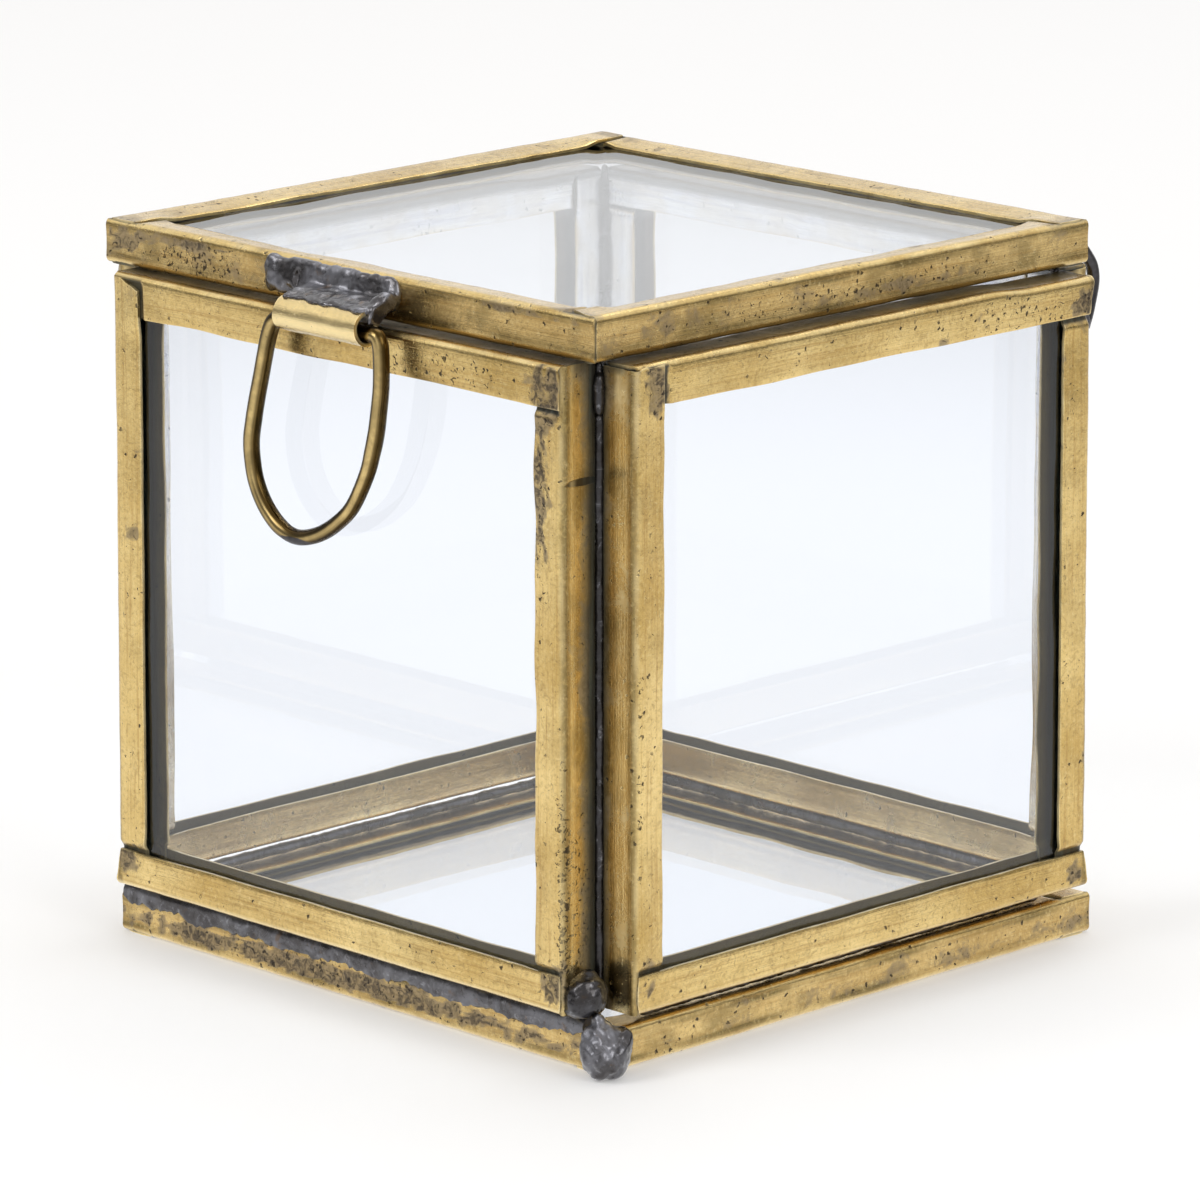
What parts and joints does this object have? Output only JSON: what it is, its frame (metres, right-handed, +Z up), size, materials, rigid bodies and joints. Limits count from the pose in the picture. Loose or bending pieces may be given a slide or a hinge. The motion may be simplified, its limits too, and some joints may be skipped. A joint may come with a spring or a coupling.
{
  "type": "glass casket box",
  "caption": "Brass-framed clear glass keepsake box with a hinged lid and a hanging wire ring pull.",
  "frame": {"origin": "middle of the underside of the box", "axes": "+Z up, the pull is on the -Y side and the hinge on the +Y side"},
  "size_m": [0.1016, 0.1086, 0.1],
  "materials": {
    "brass": "antiqued sheet brass, brushed and pitted",
    "wire": "drawn brass wire, satin",
    "glass": "clear float glass",
    "solder": "dark lead-tin solder, lumpy, half gloss"
  },
  "bodies": {
    "box": {"base_glass": "glass", "front_glass": "glass", "right_glass": "glass", "back_glass": "glass", "left_glass": "glass", "base_front_came": "brass", "base_right_came": "brass", "base_back_came": "brass", "base_left_came": "brass", "front_bottom_rail": "brass", "front_right_stile": "brass", "front_top_rail": "brass", "front_left_stile": "brass", "right_bottom_rail": "brass", "right_right_stile": "brass", "right_top_rail": "brass", "right_left_stile": "brass", "back_bottom_rail": "brass", "back_right_stile": "brass", "back_top_rail": "brass", "back_left_stile": "brass", "left_bottom_rail": "brass", "left_right_stile": "brass", "left_top_rail": "brass", "left_left_stile": "brass", "front_left_seam": "solder", "front_right_seam": "solder", "back_right_seam": "solder", "back_left_seam": "solder", "front_base_bead": "solder", "right_base_bead": "solder", "back_base_bead": "solder", "left_base_bead": "solder", "base_corner_drop": "solder", "wall_corner_drop": "solder", "hinge_pin": "wire", "pin_solder_left": "solder", "pin_solder_right": "solder"},
    "lid": {"lid_glass": "glass", "lid_front_came": "brass", "lid_right_came": "brass", "lid_back_came": "brass", "lid_left_came": "brass", "handle_sleeve": "brass", "handle_solder": "solder", "hinge_tube": "brass", "hinge_solder": "solder"},
    "ring": {"pull_ring": "wire"}
  },
  "joints": [
    {"name": "lid_hinge", "type": "hinge", "parent": "box", "child": "lid", "pos_m": [0, 0.04815, 0.0964], "axis": [-1, 0, 0], "range_deg": [0, 145]},
    {"name": "ring_swing", "type": "hinge", "parent": "lid", "child": "ring", "pos_m": [0.00235, -0.05265, 0.0932], "axis": [-1, 0, 0], "range_deg": [-2, 200]}
  ]
}
